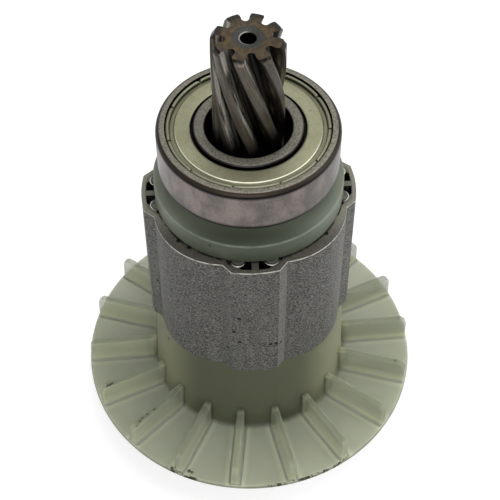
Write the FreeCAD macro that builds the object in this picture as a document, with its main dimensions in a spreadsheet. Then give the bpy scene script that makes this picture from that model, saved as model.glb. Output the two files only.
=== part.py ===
import FreeCAD, Part
import math
import os

import Sketcher

# Rotor of a brushless tool motor. The shaft stands along +Z with its pinion on top, and the origin is
# the centre of the rear bearing's lower face, on which the part stands. Lengths are in millimetres and
# angles in degrees.

drivingSizes = {
    # Front ball bearing, 15 x 32 x 9, and rear ball bearing, 10 x 26 x 8
    "front_bore_radius": 7.5,
    "front_outer_radius": 16.0,
    "front_width": 9.0,
    "front_pitch_radius": 11.75,
    "front_ball_count": 9,
    "front_corner_round": 0.95,
    "rear_bore_radius": 5.0,
    "rear_outer_radius": 13.0,
    "rear_width": 8.0,
    "rear_pitch_radius": 9.0,
    "rear_ball_count": 7,
    "rear_corner_round": 0.6,
    # What both bearings share
    "ball_radius": 2.381,
    "race_clearance": 0.03,
    "race_radius": 2.476,
    "inner_shoulder_drop": 1.6,
    "outer_shoulder_rise": 1.55,
    "ring_chamfer": 0.5,
    "seal_step": 0.55,
    "seal_depth": 1.15,
    "shield_seat_wall": 1.6,
    "shield_sheet": 0.3,
    "shield_recess": 0.45,
    "shield_gap": 0.4,
    "shield_dip": 0.3,
    "shield_fit": 0.02,
    "groove_reach": 1.68,
    "groove_slope": 0.22,
    "curl_setback": 0.28,
    "curl_width": 0.42,
    "curl_rise": 0.37,
    "crimp_count": 11,
    "crimp_width": 0.7,
    "crimp_turn": 30.2,
    "cage_half_width": 1.0,
    "cage_sheet": 0.3,
    "pocket_clearance": 0.1,
    "rivet_radius": 0.4,
    "rivet_clearance": 0.02,
    "rivet_head_radius": 0.7,
    "rivet_head_height": 0.25,
    # Shaft
    "shaft_end_recess": 0.5,
    "rear_shoulder_radius": 6.0,
    "core_seat_radius": 8.0,
    "front_shoulder_radius": 8.75,
    "front_seat_length": 4.0,
    "shaft_chamfer": 0.4,
    "centre_hole_radius": 1.35,
    "centre_cone_radius": 2.85,
    "centre_hole_depth": 4.5,
    "pinion_dish_radius": 2.65,
    "pinion_dish_depth": 0.3,
    # Helical pinion cut in the shaft, left hand
    "tooth_count": 8,
    "pinion_rise": 20.1,
    "tip_radius": 6.19,
    "pitch_radius": 5.2,
    "root_radius": 3.75,
    "pressure_angle": 20.0,
    "tooth_width": 2.3,
    "helix_lead": 107.0,
    "pinion_turn": 28.5,
    "tip_chamfer_height": 0.9,
    "tip_chamfer_depth": 0.62,
    "cutter_radius": 5.0,
    # Laminated core and its magnets
    "core_length": 30.5,
    "core_turn": 3.5,
    "pole_count": 4,
    "lobe_radius": 19.4,
    "lobe_half_angle": 12.5,
    "flank_half_angle": 18.2,
    "flank_foot_radius": 18.05,
    "pole_face_radius": 12.75,
    "slot_inner": 11.6,
    "slot_height": 3.1,
    "slot_wall": 0.85,
    "lobe_bridge": 1.2,
    "relief_radius": 0.45,
    "relief_place": 8.35,
    "magnet_width": 20.4,
    "magnet_clearance": 0.05,
    # Front end plate
    "end_plate_radius": 17.0,
    "end_plate_thickness": 4.25,
    "end_plate_round": 0.45,
    "tongue_radius": 1.15,
    "tongue_reach": 16.45,
    "tongue_side": 2.9,
    "tongue_height": 0.5,
    "bearing_gap": 3.25,
    # Fan
    "fan_radius": 33.35,
    "fan_disc_thickness": 0.9,
    "fan_rim_bevel": 0.2,
    "fan_bearing_gap": 0.1,
    "fan_boss_gap": 0.6,
    "fan_boss_radius": 9.5,
    "fan_wall": 1.7,
    "fan_web": 2.5,
    "hub_length": 20.0,
    "hub_top_radius": 18.4,
    "hub_foot_radius": 19.3,
    "hub_fillet": 0.8,
    "blade_count": 18,
    "blade_turn": 265.0,
    "blade_thickness": 1.5,
    "blade_height": 5.8,
    "blade_top_radius": 32.95,
    "blade_foot_radius": 33.1,
    "blade_round": 1.6,
    "rib_count": 6,
    "rib_thickness": 1.5,
    "rib_rise": 3.9,
}

doc = FreeCAD.newDocument("Rotor")
sheet = doc.addObject("Spreadsheet::Sheet", "Sizes")
for row, (alias, number) in enumerate(drivingSizes.items(), start=1):
    sheet.set(f"A{row}", alias)
    sheet.set(f"B{row}", str(number))
    sheet.setAlias(f"B{row}", alias)
doc.recompute()


# A size is a number together with the expression that ties it to the sheet.
class Size:
    def __init__(self, number, text):
        self.number = float(number)
        self.text = text

    def __add__(self, other):
        other = asSize(other)
        return Size(self.number + other.number, f"({self.text} + {other.text})")

    def __sub__(self, other):
        other = asSize(other)
        return Size(self.number - other.number, f"({self.text} - {other.text})")

    def __mul__(self, other):
        other = asSize(other)
        return Size(self.number * other.number, f"({self.text} * {other.text})")

    def __truediv__(self, other):
        other = asSize(other)
        return Size(self.number / other.number, f"({self.text} / {other.text})")

    def __neg__(self):
        return asSize(0) - self


def asSize(value):
    return value if isinstance(value, Size) else Size(value, f"({float(value)})")


def cosOf(angle):
    return Size(math.cos(math.radians(angle.number)), f"cos({angle.text} * 1 deg)")


def sinOf(angle):
    return Size(math.sin(math.radians(angle.number)), f"sin({angle.text} * 1 deg)")


def rootOf(square):
    return Size(math.sqrt(square.number), f"sqrt({square.text})")


s = {alias: Size(sheet.get(alias), f"Sizes.{alias}") for alias in drivingSizes}
zero = asSize(0)
nodes = []


# Heights of the stack, from the face that the part stands on
rearTop = s["rear_width"]
fanBottom = rearTop + s["fan_bearing_gap"]
fanTop = fanBottom + s["fan_disc_thickness"]
coreBottom = fanTop + s["hub_length"]
coreTop = coreBottom + s["core_length"]
plateTop = coreTop + s["end_plate_thickness"]
frontBottom = plateTop + s["bearing_gap"]
frontTop = frontBottom + s["front_width"]
pinionTop = frontTop + s["pinion_rise"]
seatTop = frontBottom + s["front_seat_length"]


def bind(item, place, size):
    item.setExpression(place, size.text)


def keep(item, label):
    item.Label = label
    nodes.append(item)
    return item


def turnedPlacement(item, angle):
    item.Placement = FreeCAD.Placement(FreeCAD.Vector(), FreeCAD.Rotation(FreeCAD.Vector(0, 0, 1), angle.number))
    bind(item, "Placement.Rotation.Angle", angle)


def originFeature(body, role):
    return next(item for item in body.Origin.OriginFeatures if item.Role == role)


def newSketch(body, name, role):
    sketch = body.newObject("Sketcher::SketchObject", name)
    sketch.AttachmentSupport = [(originFeature(body, role), "")]
    sketch.MapMode = "FlatFace"
    return sketch


def holdPoint(sketch, geometry, end, x, y):
    for kind, axis, value in (("DistanceX", -2, x), ("DistanceY", -1, y)):
        if abs(value.number) < 1e-9:
            sketch.addConstraint(Sketcher.Constraint("PointOnObject", geometry, end, axis))
            continue
        index = sketch.addConstraint(Sketcher.Constraint(kind, -1, 1, geometry, end, value.number))
        bind(sketch, f"Constraints[{index}]", value)


# A closed outline through the corners. A side named in arcs, by the number of the corner that it starts
# at, is an arc of the given radius that turns left (1) or right (-1) along the outline.
def drawOutline(sketch, corners, arcs=None):
    arcs = arcs or {}
    sides = []
    for index, (x, y) in enumerate(corners):
        nextX, nextY = corners[(index + 1) % len(corners)]
        start = FreeCAD.Vector(x.number, y.number, 0)
        finish = FreeCAD.Vector(nextX.number, nextY.number, 0)
        if index not in arcs:
            sides.append((sketch.addGeometry(Part.LineSegment(start, finish), False), 1, 2))
            continue
        radius, turn = arcs[index]
        half = (finish - start) * 0.5
        normal = FreeCAD.Vector(-half.y, half.x, 0).normalize() * turn
        rise = math.sqrt(max(radius.number ** 2 - half.Length ** 2, 0))
        centre = start + half + normal * rise
        fromPoint, toPoint = (start, finish) if turn > 0 else (finish, start)
        circle = Part.Circle(centre, FreeCAD.Vector(0, 0, 1), radius.number)
        arc = Part.ArcOfCircle(circle, circle.parameter(fromPoint), circle.parameter(toPoint))
        geometry = sketch.addGeometry(arc, False)
        sides.append((geometry, 1, 2) if turn > 0 else (geometry, 2, 1))
        held = sketch.addConstraint(Sketcher.Constraint("Radius", geometry, radius.number))
        bind(sketch, f"Constraints[{held}]", radius)
    for index, (geometry, first, last) in enumerate(sides):
        following, followingFirst, _ = sides[(index + 1) % len(sides)]
        sketch.addConstraint(Sketcher.Constraint("Coincident", geometry, last, following, followingFirst))
        holdPoint(sketch, geometry, first, *corners[index])


def drawCircle(sketch, x, y, radius):
    circle = Part.Circle(FreeCAD.Vector(x.number, y.number, 0), FreeCAD.Vector(0, 0, 1), radius.number)
    geometry = sketch.addGeometry(circle, False)
    index = sketch.addConstraint(Sketcher.Constraint("Radius", geometry, radius.number))
    bind(sketch, f"Constraints[{index}]", radius)
    holdPoint(sketch, geometry, 3, x, y)


def newBody(name):
    return doc.addObject("PartDesign::Body", name)


# A turned piece: the outline's corners are radius and height.
def revolve(body, name, corners, arcs=None):
    sketch = newSketch(body, name + "_outline", "XZ_Plane")
    drawOutline(sketch, corners, arcs)
    turned = body.newObject("PartDesign::Revolution", name + "_turned")
    turned.Profile = sketch
    turned.ReferenceAxis = (sketch, ["V_Axis"])
    turned.Angle = 360
    body.Tip = turned
    return turned


def extrude(body, kind, name, sketch, length, both=False, reverse=False):
    feature = body.newObject("PartDesign::" + kind, name)
    feature.Profile = sketch
    feature.Midplane = both
    feature.Reversed = reverse
    bind(feature, "Length", length)
    body.Tip = feature
    return feature


def raiseSketch(sketch, height):
    bind(sketch, "AttachmentOffset.Base.z", height)


def repeatRound(body, name, features, count):
    pattern = body.newObject("PartDesign::PolarPattern", name)
    pattern.Originals = features
    pattern.Axis = (originFeature(body, "Z_Axis"), [""])
    pattern.Angle = 360
    bind(pattern, "Occurrences", count)
    body.Tip = pattern
    return pattern


# Ball bearing


# Half the height of the ball groove where it meets the ring's shoulder
def grooveReach(shoulderDrop):
    offset = s["race_radius"] - s["ball_radius"] - s["race_clearance"] + shoulderDrop
    return rootOf(s["race_radius"] * s["race_radius"] - offset * offset)


def makeInnerRing(prefix, bearing):
    low, high, middle = bearing["bottom"], bearing["top"], bearing["middle"]
    shoulder = bearing["pitch"] - s["inner_shoulder_drop"]
    land = shoulder - s["seal_step"]
    faceEdge = land - s["ring_chamfer"]
    chamfer = s["ring_chamfer"]
    bore = bearing["bore"]
    reach = grooveReach(s["inner_shoulder_drop"])
    body = newBody(prefix + "_inner_ring_body")
    revolve(body, prefix + "_inner_ring", [
        (bore + chamfer, low), (faceEdge, low), (land, low + chamfer), (land, low + s["seal_depth"]),
        (shoulder, low + s["seal_depth"]), (shoulder, middle - reach), (shoulder, middle + reach),
        (shoulder, high - s["seal_depth"]), (land, high - s["seal_depth"]), (land, high - chamfer),
        (faceEdge, high), (bore + chamfer, high), (bore, high - chamfer), (bore, low + chamfer),
    ], {5: (s["race_radius"], -1)})
    return keep(body, f"{prefix}_inner_ring")


def makeOuterRing(prefix, bearing):
    low, high, middle = bearing["bottom"], bearing["top"], bearing["middle"]
    outer, corner = bearing["outer"], bearing["corner"]
    shoulder = bearing["pitch"] + s["outer_shoulder_rise"]
    seat = outer - s["shield_seat_wall"]
    reach = grooveReach(s["outer_shoulder_rise"])
    body = newBody(prefix + "_outer_ring_body")
    revolve(body, prefix + "_outer_ring", [
        (seat, low), (outer - corner, low), (outer, low + corner), (outer, high - corner),
        (outer - corner, high), (seat, high), (seat, high - s["seal_depth"]),
        (shoulder, high - s["seal_depth"]), (shoulder, middle + reach), (shoulder, middle - reach),
        (shoulder, low + s["seal_depth"]), (seat, low + s["seal_depth"]),
    ], {1: (corner, 1), 3: (corner, 1), 8: (s["race_radius"], -1)})
    return keep(body, f"{prefix}_outer_ring")


# A pressed shield: a flat band, a dip, and a rim curled into the outer ring with crimps in it. The
# direction is 1 for a shield that faces up and -1 for one that faces down.
def makeShield(prefix, name, bearing, face, direction):
    seat = bearing["outer"] - s["shield_seat_wall"] - s["shield_fit"]
    inner = bearing["pitch"] - s["inner_shoulder_drop"] - s["seal_step"] + s["shield_gap"]
    thickness = s["shield_sheet"]
    level = s["shield_recess"]
    deep = level + s["shield_dip"]
    grooveStart, slope = seat - s["groove_reach"], s["groove_slope"]
    rim, curl, rise = seat - s["curl_setback"], s["curl_width"], s["curl_rise"]
    shoulder = level - rise * 0.68
    corners = [
        (inner, level), (grooveStart, level), (grooveStart + slope, deep), (rim - curl - slope, deep),
        (rim - curl, shoulder), (rim - curl / 2, level - rise), (rim, shoulder), (seat, deep - rise * 0.27),
        (seat, deep + thickness), (rim - curl / 4, deep + thickness / 3), (rim - curl / 2, level + slope / 4),
        (rim - curl, deep + thickness), (grooveStart, deep + thickness), (grooveStart - slope, level + thickness),
        (inner, level + thickness),
    ]
    body = newBody(f"{prefix}_{name}_body")
    revolve(body, f"{prefix}_{name}", [(radius, face - depth * direction) for radius, depth in corners])
    crimp = newSketch(body, f"{prefix}_{name}_crimp", "XY_Plane")
    raiseSketch(crimp, face - (level - rise * 0.4) * direction)
    half = s["crimp_width"] / 2
    near, far = rim - curl - slope / 4, seat + s["shield_fit"] * 5
    drawOutline(crimp, [(near, -half), (far, -half), (far, half), (near, half)])
    notch = extrude(body, "Pocket", f"{prefix}_{name}_notch", crimp, s["shield_sheet"] * 2,
                    reverse=direction > 0)
    repeatRound(body, f"{prefix}_{name}_notches", [notch], s["crimp_count"])
    turnedPlacement(body, s["crimp_turn"])
    return keep(body, f"{prefix}_{name}")


def ballAngle(bearing, index):
    return asSize(360) / bearing["count"] * index


# Half of a ribbon cage: a flat ring that is bent round each ball. It is drawn as a ring with a whole
# sleeve round each ball, and the half beyond the middle plane is then cut away.
def makeCageHalf(prefix, name, bearing, direction):
    pitch, count, width = bearing["pitch"], bearing["count"], s["cage_half_width"]
    hollow = s["ball_radius"] + s["pocket_clearance"]
    sleeve = hollow + s["cage_sheet"]
    edge = s["cage_sheet"] * direction
    body = newBody(f"{prefix}_{name}_body")
    strip = [(pitch - width, zero), (pitch + width, zero), (pitch + width, edge), (pitch - width, edge)]
    revolve(body, f"{prefix}_{name}", strip)
    for kind, part, radius, reach in (("Pad", "sleeve", sleeve, width), ("Pocket", "pocket", hollow, width * 2)):
        circle = newSketch(body, f"{prefix}_{name}_{part}_circle", "YZ_Plane")
        raiseSketch(circle, pitch)
        drawCircle(circle, zero, zero, radius)
        feature = extrude(body, kind, f"{prefix}_{name}_{part}", circle, reach * 2, both=True)
        repeatRound(body, f"{prefix}_{name}_{part}s", [feature], count)
    rivets = newSketch(body, f"{prefix}_{name}_rivet_circle", "XY_Plane")
    halfTurn = asSize(180) / count
    drawCircle(rivets, pitch * cosOf(halfTurn), pitch * sinOf(halfTurn), s["rivet_radius"] + s["rivet_clearance"])
    hole = extrude(body, "Pocket", f"{prefix}_{name}_rivet_hole", rivets, s["cage_sheet"] * 4, both=True)
    repeatRound(body, f"{prefix}_{name}_rivet_holes", [hole], count)
    beyond = newSketch(body, f"{prefix}_{name}_trim_circle", "XY_Plane")
    drawCircle(beyond, zero, zero, pitch + sleeve)
    extrude(body, "Pocket", f"{prefix}_{name}_trim", beyond, sleeve * 2, reverse=direction < 0)
    bind(body, "Placement.Base.z", bearing["middle"])
    return keep(body, f"{prefix}_{name}")


def makeRivets(prefix, bearing):
    pitch, shank, head = bearing["pitch"], s["rivet_radius"], s["rivet_head_radius"]
    grip = s["cage_sheet"] + s["rivet_clearance"]
    end = grip + s["rivet_head_height"]
    body = newBody(f"{prefix}_cage_rivets_body")
    body.AllowCompound = True
    sketch = newSketch(body, f"{prefix}_rivet_outline", "XZ_Plane")
    drawOutline(sketch, [
        (pitch, -end), (pitch + head, -end), (pitch + head, -grip), (pitch + shank, -grip),
        (pitch + shank, grip), (pitch + head, grip), (pitch + head, end), (pitch, end),
    ])
    rivet = body.newObject("PartDesign::Revolution", f"{prefix}_rivet")
    rivet.Profile = sketch
    rivet.ReferenceAxis = (sketch, ["Edge8"])
    rivet.Angle = 360
    body.Tip = rivet
    repeatRound(body, f"{prefix}_rivets", [rivet], bearing["count"])
    turnedPlacement(body, asSize(180) / bearing["count"])
    bind(body, "Placement.Base.z", bearing["middle"])
    return keep(body, f"{prefix}_cage_rivets")


def makeBall(prefix, bearing, index):
    angle = ballAngle(bearing, index)
    ball = doc.addObject("Part::Sphere", f"{prefix}_ball_sphere_{index + 1}")
    bind(ball, "Radius", s["ball_radius"])
    bind(ball, "Placement.Base.x", bearing["pitch"] * cosOf(angle))
    bind(ball, "Placement.Base.y", bearing["pitch"] * sinOf(angle))
    bind(ball, "Placement.Base.z", bearing["middle"])
    return keep(ball, f"{prefix}_ball_{index + 1}")


def makeBearing(prefix, bottom):
    bearing = {
        "bore": s[prefix + "_bore_radius"],
        "outer": s[prefix + "_outer_radius"],
        "pitch": s[prefix + "_pitch_radius"],
        "count": s[prefix + "_ball_count"],
        "corner": s[prefix + "_corner_round"],
        "bottom": bottom,
        "middle": bottom + s[prefix + "_width"] / 2,
        "top": bottom + s[prefix + "_width"],
    }
    name = prefix + "_bearing"
    makeInnerRing(name, bearing)
    makeOuterRing(name, bearing)
    makeShield(name, "upper_shield", bearing, bearing["top"], 1)
    makeShield(name, "lower_shield", bearing, bearing["bottom"], -1)
    makeCageHalf(name, "upper_cage", bearing, 1)
    makeCageHalf(name, "lower_cage", bearing, -1)
    makeRivets(name, bearing)
    for index in range(round(bearing["count"].number)):
        makeBall(name, bearing, index)


# Shaft with the pinion cut in its end


def makeShaftBlank():
    low = s["shaft_end_recess"]
    chamfer = s["shaft_chamfer"]
    hole, cone = s["centre_hole_radius"], s["centre_cone_radius"]
    coneDepth = cone - hole
    depth = s["centre_hole_depth"]
    tip, seat = s["tip_radius"], s["front_bore_radius"]
    neck = seatTop + (seat - tip)
    body = newBody("shaft_blank")
    revolve(body, "shaft", [
        (zero, low + depth + hole / 2), (hole, low + depth), (hole, low + coneDepth), (cone, low),
        (s["rear_bore_radius"] - chamfer, low), (s["rear_bore_radius"], low + chamfer),
        (s["rear_bore_radius"], rearTop), (s["rear_shoulder_radius"], rearTop),
        (s["rear_shoulder_radius"], coreBottom), (s["core_seat_radius"] - chamfer, coreBottom),
        (s["core_seat_radius"], coreBottom + chamfer),
        (s["core_seat_radius"], plateTop), (s["front_shoulder_radius"], plateTop),
        (s["front_shoulder_radius"], frontBottom), (seat, frontBottom), (seat, seatTop), (tip, neck),
        (tip, pinionTop - s["tip_chamfer_height"]), (tip - s["tip_chamfer_depth"], pinionTop),
        (s["pinion_dish_radius"], pinionTop), (hole, pinionTop - s["pinion_dish_depth"]),
        (hole, pinionTop - depth),
        (zero, pinionTop - depth - hole / 2),
    ])
    return body


def involute(base, roll, offset):
    angle = offset + roll - math.atan(roll)
    radius = base * math.sqrt(1 + roll ** 2)
    return FreeCAD.Vector(radius * math.cos(angle), radius * math.sin(angle), 0)


# Cross-section of the pinion: an involute flank down to the base circle, a straight foot, and a round
# root between the teeth.
def pinionSection(height):
    count = round(s["tooth_count"].number)
    pitch, tip, root = s["pitch_radius"].number, s["tip_radius"].number, s["root_radius"].number
    pressure = math.radians(s["pressure_angle"].number)
    base = pitch * math.cos(pressure)
    halfTooth = s["tooth_width"].number / 2 / pitch + math.tan(pressure) - pressure
    lastRoll = math.sqrt((tip / base) ** 2 - 1)
    steps = 5
    flank = [involute(base, lastRoll * step / steps, -halfTooth) for step in range(steps + 1)]
    pitchAngle = 2 * math.pi / count
    footRadius = (base + root) / 2
    upward = FreeCAD.Vector(0, 0, height)
    edges = []
    for index in range(count):
        middle = pitchAngle * index

        def place(point, side=1):
            angle = math.atan2(point.y, point.x) * side + middle
            radius = point.Length
            return FreeCAD.Vector(radius * math.cos(angle), radius * math.sin(angle), 0) + upward

        def polar(radius, angle):
            return FreeCAD.Vector(radius * math.cos(angle), radius * math.sin(angle), 0) + upward

        foot = FreeCAD.Vector(footRadius * math.cos(halfTooth), -footRadius * math.sin(halfTooth), 0)
        rising = [place(point) for point in flank]
        falling = [place(point, -1) for point in reversed(flank)]
        rise = Part.BSplineCurve()
        rise.interpolate(rising)
        fall = Part.BSplineCurve()
        fall.interpolate(falling)
        edges.append(Part.LineSegment(place(foot), rising[0]).toShape())
        edges.append(rise.toShape())
        edges.append(Part.Arc(rising[-1], polar(tip, middle), falling[0]).toShape())
        edges.append(fall.toShape())
        edges.append(Part.LineSegment(falling[-1], place(foot, -1)).toShape())
        nextFoot = polar(footRadius, middle + pitchAngle - halfTooth)
        edges.append(Part.Arc(place(foot, -1), polar(root, middle + pitchAngle / 2), nextFoot).toShape())
    return Part.Wire(edges)


# What the cutter takes out: a sleeve round the shaft's end, less the teeth and less the body under the
# roots, which rises along the cutter's arc where the tooth spaces run out.
def makeToothSpaces():
    low, high = seatTop.number, pinionTop.number + 1
    tip, root = s["tip_radius"].number, s["root_radius"].number
    lead = s["helix_lead"].number
    cutter = s["cutter_radius"].number
    spine = Part.Wire(Part.makeLine(FreeCAD.Vector(0, 0, low), FreeCAD.Vector(0, 0, high)))
    guide = Part.makeHelix(lead, high - low, tip, 0, True)
    guide.translate(FreeCAD.Vector(0, 0, low))
    sweep = Part.BRepOffsetAPI.MakePipeShell(spine)
    sweep.setAuxiliarySpine(Part.Wire(guide.Edges), True, 0)
    sweep.add(pinionSection(low))
    sweep.build()
    sweep.makeSolid()
    teeth = sweep.shape()
    turned = 360 * (pinionTop.number - low) / lead
    teeth.rotate(FreeCAD.Vector(), FreeCAD.Vector(0, 0, 1), s["pinion_turn"].number + turned)
    outside = tip * 1.3
    rise = outside - root
    runLength = math.sqrt(cutter ** 2 - (cutter - min(rise, cutter * 0.9)) ** 2)
    reach = root + min(rise, cutter * 0.9)
    middleAngle = math.asin(runLength / cutter) / 2
    arcMiddle = FreeCAD.Vector(root + cutter * (1 - math.cos(middleAngle)), 0,
                               low + runLength - cutter * math.sin(middleAngle))
    arc = Part.Arc(FreeCAD.Vector(reach, 0, low), arcMiddle, FreeCAD.Vector(root, 0, low + runLength))
    outline = [arc.toShape()] + Part.makePolygon([
        FreeCAD.Vector(root, 0, low + runLength), FreeCAD.Vector(root, 0, high), FreeCAD.Vector(0, 0, high),
        FreeCAD.Vector(0, 0, low), FreeCAD.Vector(reach, 0, low),
    ]).Edges
    under = Part.Face(Part.Wire(outline)).revolve(FreeCAD.Vector(), FreeCAD.Vector(0, 0, 1), 360)
    sleeve = Part.makeCylinder(outside, high - low, FreeCAD.Vector(0, 0, low))
    spaces = doc.addObject("Part::Feature", "tooth_spaces")
    spaces.Shape = sleeve.cut(teeth).cut(under)
    return spaces


def makeShaft():
    shaft = doc.addObject("Part::Cut", "shaft_cut")
    shaft.Base = makeShaftBlank()
    shaft.Tool = makeToothSpaces()
    return keep(shaft, "shaft")


# Laminated core: a disc with a shallow relief over each pole face, which leaves a lobe between poles,
# and a slot for each magnet that reaches into both lobes beside it.


def makeCore():
    body = newBody("rotor_core_body")
    outer = newSketch(body, "core_outline", "XY_Plane")
    raiseSketch(outer, coreBottom)
    drawCircle(outer, zero, zero, s["lobe_radius"])
    drawCircle(outer, zero, zero, s["core_seat_radius"])
    stack = extrude(body, "Pad", "core_stack", outer, s["core_length"])
    halfPitch = asSize(180) / s["pole_count"]
    footAngle = halfPitch - s["flank_half_angle"]
    cornerAngle = halfPitch - s["lobe_half_angle"]
    foot = (s["flank_foot_radius"] * cosOf(footAngle), s["flank_foot_radius"] * sinOf(footAngle))
    corner = (s["lobe_radius"] * cosOf(cornerAngle), s["lobe_radius"] * sinOf(cornerAngle))
    past = (corner[0] + (corner[0] - foot[0]), corner[1] + (corner[1] - foot[1]))
    far = s["lobe_radius"] * 1.1
    relief = newSketch(body, "pole_relief_outline", "XY_Plane")
    raiseSketch(relief, coreBottom - 1)
    drawOutline(relief, [
        (foot[0], -foot[1]), foot, past, (far, past[1]), (far, -past[1]), (past[0], -past[1]),
    ], {0: (s["pole_face_radius"], 1)})
    reliefCut = extrude(body, "Pocket", "pole_relief", relief, s["core_length"] + 2, reverse=True)
    repeatRound(body, "pole_reliefs", [reliefCut], s["pole_count"])

    inner, outerLine = s["slot_inner"], s["slot_inner"] + s["slot_height"]
    wallRadius = s["lobe_radius"] - s["slot_wall"]
    # The bridge's side runs along the line between two poles, half the bridge's width from its middle.
    bridgeShift = s["lobe_bridge"] / 2 * rootOf(asSize(2))
    along = rootOf(wallRadius * wallRadius - (s["lobe_bridge"] / 2) * (s["lobe_bridge"] / 2))
    deepX = (along + s["lobe_bridge"] / 2) / rootOf(asSize(2))
    deepY = (along - s["lobe_bridge"] / 2) / rootOf(asSize(2))
    wallY = rootOf(wallRadius * wallRadius - outerLine * outerLine)
    slot = newSketch(body, "magnet_slot_outline", "XY_Plane")
    raiseSketch(slot, coreBottom - 1)
    drawOutline(slot, [
        (inner, -(inner - bridgeShift)), (deepX, -deepY), (outerLine, -wallY), (outerLine, wallY),
        (deepX, deepY), (inner, inner - bridgeShift),
    ], {1: (wallRadius, 1), 3: (wallRadius, 1)})
    slotCut = extrude(body, "Pocket", "magnet_slot", slot, s["core_length"] + 2, reverse=True)
    slots = repeatRound(body, "magnet_slots", [slotCut], s["pole_count"])
    reliefs = newSketch(body, "slot_relief_outline", "XY_Plane")
    raiseSketch(reliefs, coreBottom - 1)
    for side in (-1, 1):
        drawCircle(reliefs, outerLine, s["relief_place"] * side, s["relief_radius"])
    notch = extrude(body, "Pocket", "slot_relief", reliefs, s["core_length"] + 2, reverse=True)
    repeatRound(body, "slot_reliefs", [notch], s["pole_count"])
    turnedPlacement(body, s["core_turn"] + halfPitch)
    return keep(body, "rotor_core")


def makeMagnet(index):
    gap = s["magnet_clearance"]
    angle = s["core_turn"] + asSize(180) / s["pole_count"] * (2 * index + 1)
    inner = s["slot_inner"] + gap
    halfWidth = s["magnet_width"] / 2
    magnet = doc.addObject("Part::Box", f"magnet_block_{index + 1}")
    bind(magnet, "Length", s["slot_height"] - gap * 2)
    bind(magnet, "Width", s["magnet_width"])
    bind(magnet, "Height", s["core_length"] - gap * 2)
    turn = FreeCAD.Rotation(FreeCAD.Vector(0, 0, 1), angle.number)
    magnet.Placement = FreeCAD.Placement(FreeCAD.Vector(), turn)
    bind(magnet, "Placement.Rotation.Angle", angle)
    bind(magnet, "Placement.Base.x", inner * cosOf(angle) + halfWidth * sinOf(angle))
    bind(magnet, "Placement.Base.y", inner * sinOf(angle) - halfWidth * cosOf(angle))
    bind(magnet, "Placement.Base.z", coreBottom + gap)
    return keep(magnet, f"magnet_{index + 1}")


def makeEndPlate():
    radius, corner = s["end_plate_radius"], s["end_plate_round"]
    bore = s["core_seat_radius"]
    body = newBody("end_plate_body")
    revolve(body, "end_plate", [
        (bore, coreTop), (radius - corner, coreTop), (radius, coreTop + corner),
        (radius, plateTop - corner / 2), (radius - corner / 2, plateTop), (bore, plateTop),
    ], {1: (corner, 1), 3: (corner / 2, 1)})
    tongues = newSketch(body, "tongue_outline", "XY_Plane")
    raiseSketch(tongues, coreTop)
    for side in (-1, 1):
        drawCircle(tongues, s["tongue_reach"], s["tongue_side"] * side, s["tongue_radius"])
    pad = extrude(body, "Pad", "tongue_pair", tongues, s["tongue_height"])
    repeatRound(body, "tongues", [pad], s["pole_count"])
    turnedPlacement(body, s["core_turn"])
    return keep(body, "front_end_plate")


# Fan: a hub that is hollow from below, with ribs inside it, a thin disc and radial blades.


def makeFan():
    body = newBody("fan_body")
    bore, boss = s["rear_shoulder_radius"], s["fan_boss_radius"]
    wall, fillet, bevel = s["fan_wall"], s["hub_fillet"], s["fan_rim_bevel"]
    webBottom = coreBottom - s["fan_web"]
    rim = s["fan_radius"]
    revolve(body, "fan", [
        (bore, rearTop + s["fan_boss_gap"]), (boss, rearTop + s["fan_boss_gap"]), (boss, webBottom),
        (s["hub_top_radius"] - wall, webBottom), (s["hub_foot_radius"] - wall, fanBottom),
        (rim, fanBottom), (rim, fanTop - bevel), (rim - bevel, fanTop),
        (s["hub_foot_radius"] + fillet, fanTop), (s["hub_foot_radius"], fanTop + fillet),
        (s["hub_top_radius"], coreBottom), (bore, coreBottom),
    ], {8: (fillet, -1)})
    bladeTop = fanTop + s["blade_height"]
    rounding = s["blade_round"]
    start = s["hub_top_radius"] - wall / 2
    blade = newSketch(body, "blade_outline", "XZ_Plane")
    drawOutline(blade, [
        (start, fanTop - s["fan_disc_thickness"] / 2),
        (s["blade_foot_radius"], fanTop - s["fan_disc_thickness"] / 2), (s["blade_foot_radius"], fanTop),
        (s["blade_top_radius"], bladeTop - rounding), (s["blade_top_radius"] - rounding, bladeTop),
        (start, bladeTop),
    ], {3: (rounding, 1)})
    bladePad = extrude(body, "Pad", "blade", blade, s["blade_thickness"], both=True)
    repeatRound(body, "blades", [bladePad], s["blade_count"])
    rib = newSketch(body, "rib_outline", "XZ_Plane")
    drawOutline(rib, [
        (boss - wall / 2, fanBottom + s["rib_rise"]),
        (s["hub_top_radius"] - wall / 2, fanBottom + s["rib_rise"]),
        (s["hub_top_radius"] - wall / 2, coreBottom - s["fan_web"] / 2),
        (boss - wall / 2, coreBottom - s["fan_web"] / 2),
    ])
    ribPad = extrude(body, "Pad", "rib", rib, s["rib_thickness"], both=True)
    repeatRound(body, "ribs", [ribPad], s["rib_count"])
    turnedPlacement(body, s["blade_turn"])
    return keep(body, "fan")


makeShaft()
makeCore()
for pole in range(round(s["pole_count"].number)):
    makeMagnet(pole)
makeEndPlate()
makeFan()
makeBearing("front", frontBottom)
makeBearing("rear", zero)
doc.recompute()

for item in doc.Objects:
    if "Invalid" in item.State or "Error" in item.State:
        raise RuntimeError(f"{item.Label} did not compute: {item.State}")
for item in nodes:
    if item.Shape.isNull() or not item.Shape.isValid() or not item.Shape.Solids:
        raise RuntimeError(f"{item.Label} has no valid solid")

os.makedirs("parts", exist_ok=True)
for item in nodes:
    item.Shape.exportStep(f"parts/{item.Label}.step")
    box = item.Shape.BoundBox
    print(f"{item.Label}: {len(item.Shape.Solids)} solid(s), {item.Shape.Volume:.1f} mm3, "
          f"z {box.ZMin:.2f} to {box.ZMax:.2f}")
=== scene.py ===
import math

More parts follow.
